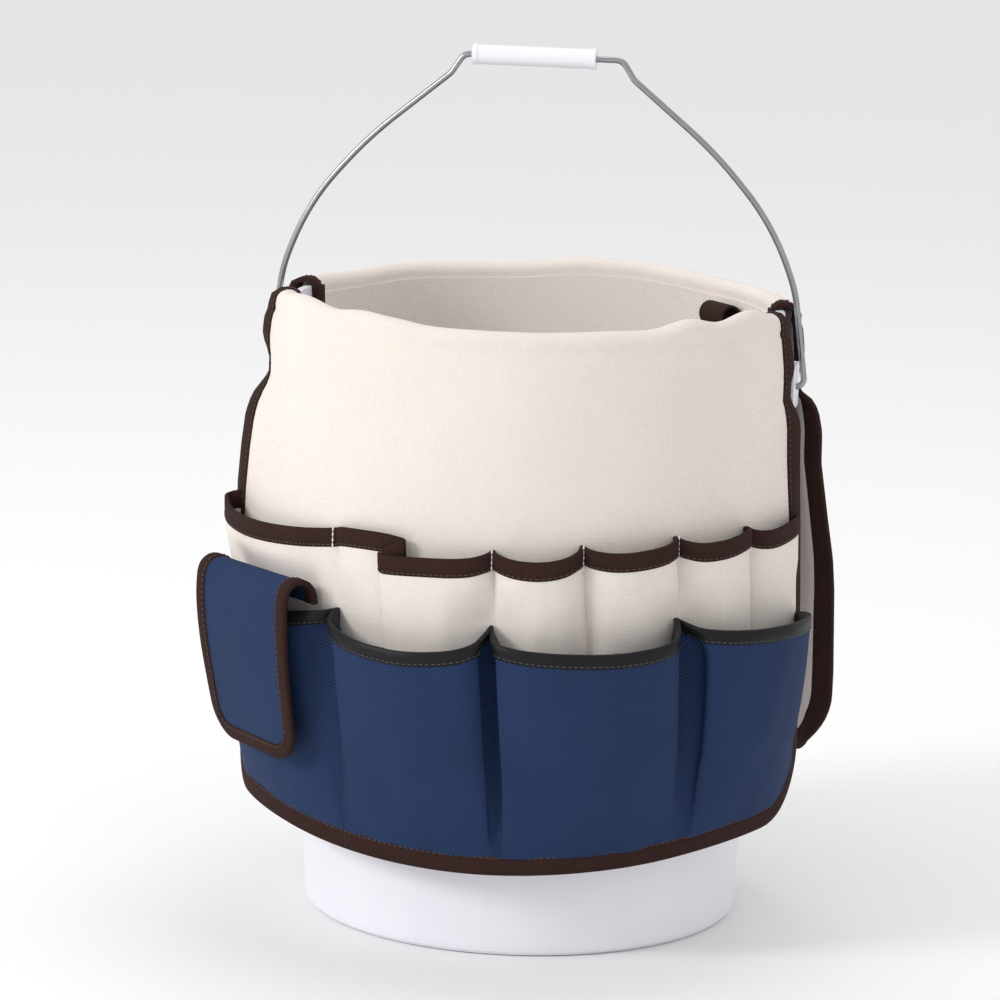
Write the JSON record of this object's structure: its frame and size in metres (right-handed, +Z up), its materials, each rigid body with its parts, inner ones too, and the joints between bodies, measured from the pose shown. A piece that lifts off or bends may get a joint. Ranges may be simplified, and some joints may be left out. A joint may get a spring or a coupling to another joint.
{
  "type": "tool bucket organizer",
  "caption": "Plastic pail with a wire bail, wearing a sewn canvas organizer of bound pockets, a flapped pocket, side slots for the bail and a ring tab.",
  "frame": {"origin": "centre of the pail's foot, on the floor", "axes": "+Z up; -Y towards the front of the organizer; the bail's pivots lie along X"},
  "size_m": [0.3829, 0.3755, 0.5213],
  "materials": {
    "pail_plastic": "smooth, slightly soft gloss, white with a hint of lavender",
    "steel_wire": "bright drawn zinc-plated wire",
    "grip_plastic": "satin white",
    "ring_steel": "nickel plated",
    "cream_canvas": "fine plain weave",
    "navy_cloth": "fine diagonal twill",
    "brown_webbing": "ribbed tape with tonal stitching",
    "black_tape": "satin vinyl tape with a stitched line",
    "closing_patch": "hook and loop"
  },
  "bodies": {
    "organizer_on_pail": {"pail": "pail_plastic", "lining": "cream_canvas", "lining_binding": "brown_webbing", "right_slot_binding": "brown_webbing", "left_slot_binding": "brown_webbing", "ring_tab": "brown_webbing", "front_apron": "cream_canvas", "front_edge_binding": "brown_webbing", "front_upper_pocket_1": "cream_canvas", "front_upper_pocket_2": "cream_canvas", "front_upper_pocket_3": "cream_canvas", "front_upper_pocket_4": "cream_canvas", "front_upper_pocket_5": "cream_canvas", "front_upper_pocket_6": "cream_canvas", "front_upper_pocket_trim": "brown_webbing", "front_lower_pocket_1": "navy_cloth", "front_lower_pocket_2": "navy_cloth", "front_lower_pocket_3": "navy_cloth", "front_lower_pocket_4": "navy_cloth", "front_lower_pocket_trim": "black_tape", "back_apron": "cream_canvas", "back_edge_binding": "brown_webbing", "back_upper_pocket_1": "cream_canvas", "back_upper_pocket_2": "cream_canvas", "back_upper_pocket_3": "cream_canvas", "back_upper_pocket_4": "cream_canvas", "back_upper_pocket_5": "cream_canvas", "back_upper_pocket_6": "cream_canvas", "back_upper_pocket_trim": "brown_webbing", "back_lower_pocket_1": "navy_cloth", "back_lower_pocket_2": "navy_cloth", "back_lower_pocket_3": "navy_cloth", "back_lower_pocket_4": "navy_cloth", "back_lower_pocket_trim": "black_tape", "flap_root": "navy_cloth", "pocket_loop_patch": "closing_patch"},
    "bail": {"bail_wire": "steel_wire"},
    "grip": {"bail_grip": "grip_plastic"},
    "flap": {"flap_panel": "navy_cloth", "flap_binding": "brown_webbing", "flap_hook_patch": "closing_patch"},
    "ring": {"d_ring": "ring_steel"}
  },
  "joints": [
    {"name": "bail_swing", "type": "hinge", "parent": "organizer_on_pail", "child": "bail", "pos_m": [0, 0, 0.326], "axis": [1, 0, 0], "range_deg": [-88, 88]},
    {"name": "grip_spin", "type": "hinge", "parent": "bail", "child": "grip", "pos_m": [-0.005, 0, 0.515], "axis": [1, 0, 0], "continuous": true},
    {"name": "flap_lift", "type": "hinge", "parent": "organizer_on_pail", "child": "flap", "pos_m": [-0.14355, -0.11362, 0.218], "axis": [-0.7314, 0.682, 0], "range_deg": [0, 150]},
    {"name": "ring_swing", "type": "hinge", "parent": "organizer_on_pail", "child": "ring", "pos_m": [0.10124, 0.08495, 0.3499], "axis": [-0.6428, 0.766, 0], "range_deg": [-5, 150]}
  ]
}
